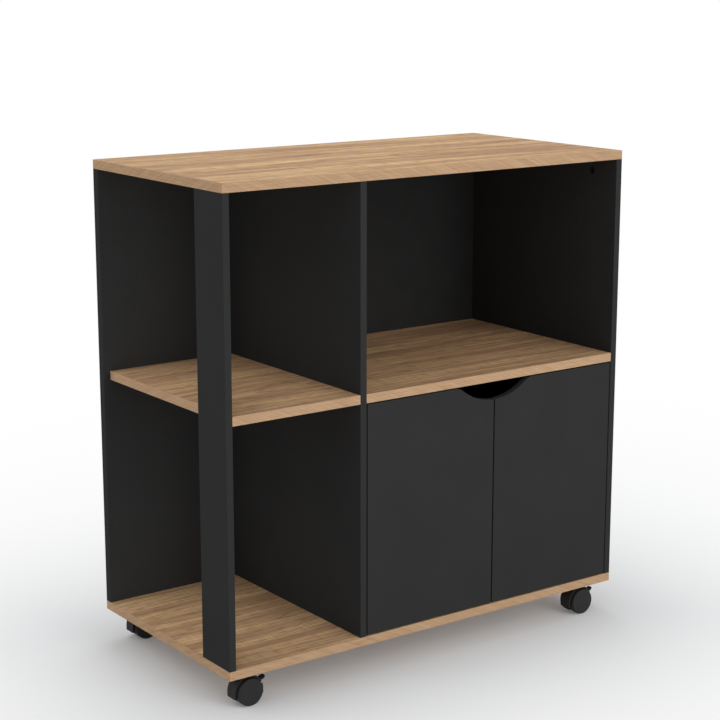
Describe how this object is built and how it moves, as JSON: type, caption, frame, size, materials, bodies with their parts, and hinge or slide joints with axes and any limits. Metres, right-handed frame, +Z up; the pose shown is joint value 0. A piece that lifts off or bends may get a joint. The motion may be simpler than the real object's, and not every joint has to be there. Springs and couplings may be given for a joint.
{
  "type": "kitchen cart",
  "caption": "Rolling kitchen cart of oak-decor and black boards with an open side bay, an oven niche above a cupboard with inset doors, and twin-wheel swivel castors.",
  "frame": {"origin": "on the floor under the middle of the cart", "axes": "+Z up, the doors face -Y, the open bay is on the -X side"},
  "size_m": [0.8, 0.4, 0.826],
  "materials": {
    "oak_board": "oak-decor melamine, satin",
    "black_board": "black melamine, matt",
    "back_sheet": "black lacquered hardboard",
    "dowel_wood": "plain beech",
    "cam_zinc": "plain die-cast zinc",
    "castor_plastic": "fine moulded, matt",
    "lever_plastic": "fine moulded, satin",
    "castor_steel": "zinc plated",
    "hinge_steel": "nickel plated"
  },
  "bodies": {
    "carcass": {"bottom_panel": "oak_board", "cam_bolts": "hinge_steel", "castor_screws": "hinge_steel", "corner_post": "black_board", "divider_panel": "black_board", "dowels": "dowel_wood", "front_left_castor_kingpin": "castor_steel", "front_left_castor_plate": "castor_steel", "front_right_castor_kingpin": "castor_steel", "front_right_castor_plate": "castor_steel", "hinge_arm_screws": "hinge_steel", "hinge_plate_screws": "hinge_steel", "left_back_panel": "black_board", "left_hinge_arms": "hinge_steel", "left_hinge_plates": "hinge_steel", "left_shelf": "oak_board", "microwave_shelf": "oak_board", "rear_left_castor_kingpin": "castor_steel", "rear_left_castor_plate": "castor_steel", "rear_right_castor_kingpin": "castor_steel", "rear_right_castor_plate": "castor_steel", "right_back_panel": "back_sheet", "right_hinge_arms": "hinge_steel", "right_hinge_plates": "hinge_steel", "right_side_panel": "black_board", "shelf_cams": "cam_zinc", "top_panel": "oak_board", "upright_cams": "cam_zinc"},
    "left_door_leaf": {"left_door": "black_board", "left_hinge_cups": "hinge_steel", "left_hinge_pins": "hinge_steel", "left_cup_screws": "hinge_steel"},
    "right_door_leaf": {"right_door": "black_board", "right_hinge_cups": "hinge_steel", "right_hinge_pins": "hinge_steel", "right_cup_screws": "hinge_steel"},
    "front_left_swivel": {"front_left_castor_hood": "castor_plastic", "front_left_castor_axle": "castor_steel", "front_left_castor_brake_pin": "castor_steel"},
    "front_left_outer_wheel": {"front_left_castor_outer_wheel": "castor_plastic"},
    "front_left_inner_wheel": {"front_left_castor_inner_wheel": "castor_plastic"},
    "front_left_brake_lever": {"front_left_castor_brake_lever": "lever_plastic"},
    "front_right_swivel": {"front_right_castor_hood": "castor_plastic", "front_right_castor_axle": "castor_steel", "front_right_castor_brake_pin": "castor_steel"},
    "front_right_outer_wheel": {"front_right_castor_outer_wheel": "castor_plastic"},
    "front_right_inner_wheel": {"front_right_castor_inner_wheel": "castor_plastic"},
    "front_right_brake_lever": {"front_right_castor_brake_lever": "lever_plastic"},
    "rear_left_swivel": {"rear_left_castor_hood": "castor_plastic", "rear_left_castor_axle": "castor_steel"},
    "rear_left_outer_wheel": {"rear_left_castor_outer_wheel": "castor_plastic"},
    "rear_left_inner_wheel": {"rear_left_castor_inner_wheel": "castor_plastic"},
    "rear_right_swivel": {"rear_right_castor_hood": "castor_plastic", "rear_right_castor_axle": "castor_steel"},
    "rear_right_outer_wheel": {"rear_right_castor_outer_wheel": "castor_plastic"},
    "rear_right_inner_wheel": {"rear_right_castor_inner_wheel": "castor_plastic"}
  },
  "joints": [
    {"name": "left_door_hinge", "type": "hinge", "parent": "carcass", "child": "left_door_leaf", "pos_m": [-0.12002, -0.1925, 0.264], "axis": [0, 0, -1], "range_deg": [0, 95]},
    {"name": "right_door_hinge", "type": "hinge", "parent": "carcass", "child": "right_door_leaf", "pos_m": [0.36902, -0.1925, 0.264], "axis": [0, 0, 1], "range_deg": [0, 95]},
    {"name": "front_left_swivel_turn", "type": "hinge", "parent": "carcass", "child": "front_left_swivel", "pos_m": [-0.3505, -0.174, 0.051], "axis": [0, 0, 1], "continuous": true},
    {"name": "front_left_outer_wheel_spin", "type": "hinge", "parent": "front_left_swivel", "child": "front_left_outer_wheel", "pos_m": [-0.356, -0.174, 0.0225], "axis": [0, 1, 0], "continuous": true},
    {"name": "front_left_inner_wheel_spin", "type": "hinge", "parent": "front_left_swivel", "child": "front_left_inner_wheel", "pos_m": [-0.356, -0.174, 0.0225], "axis": [0, 1, 0], "continuous": true},
    {"name": "front_left_brake_press", "type": "hinge", "parent": "front_left_swivel", "child": "front_left_brake_lever", "pos_m": [-0.33677, -0.174, 0.03752], "axis": [0, 1, 0], "range_deg": [0, 15]},
    {"name": "front_right_swivel_turn", "type": "hinge", "parent": "carcass", "child": "front_right_swivel", "pos_m": [0.3505, -0.174, 0.051], "axis": [0, 0, 1], "continuous": true},
    {"name": "front_right_outer_wheel_spin", "type": "hinge", "parent": "front_right_swivel", "child": "front_right_outer_wheel", "pos_m": [0.345, -0.174, 0.0225], "axis": [0, 1, 0], "continuous": true},
    {"name": "front_right_inner_wheel_spin", "type": "hinge", "parent": "front_right_swivel", "child": "front_right_inner_wheel", "pos_m": [0.345, -0.174, 0.0225], "axis": [0, 1, 0], "continuous": true},
    {"name": "front_right_brake_press", "type": "hinge", "parent": "front_right_swivel", "child": "front_right_brake_lever", "pos_m": [0.36423, -0.174, 0.03752], "axis": [0, 1, 0], "range_deg": [0, 15]},
    {"name": "rear_left_swivel_turn", "type": "hinge", "parent": "carcass", "child": "rear_left_swivel", "pos_m": [-0.3505, 0.174, 0.051], "axis": [0, 0, 1], "continuous": true},
    {"name": "rear_left_outer_wheel_spin", "type": "hinge", "parent": "rear_left_swivel", "child": "rear_left_outer_wheel", "pos_m": [-0.345, 0.174, 0.0225], "axis": [0, 1, 0], "continuous": true},
    {"name": "rear_left_inner_wheel_spin", "type": "hinge", "parent": "rear_left_swivel", "child": "rear_left_inner_wheel", "pos_m": [-0.345, 0.174, 0.0225], "axis": [0, 1, 0], "continuous": true},
    {"name": "rear_right_swivel_turn", "type": "hinge", "parent": "carcass", "child": "rear_right_swivel", "pos_m": [0.3505, 0.174, 0.051], "axis": [0, 0, 1], "continuous": true},
    {"name": "rear_right_outer_wheel_spin", "type": "hinge", "parent": "rear_right_swivel", "child": "rear_right_outer_wheel", "pos_m": [0.356, 0.174, 0.0225], "axis": [0, 1, 0], "continuous": true},
    {"name": "rear_right_inner_wheel_spin", "type": "hinge", "parent": "rear_right_swivel", "child": "rear_right_inner_wheel", "pos_m": [0.356, 0.174, 0.0225], "axis": [0, 1, 0], "continuous": true}
  ]
}
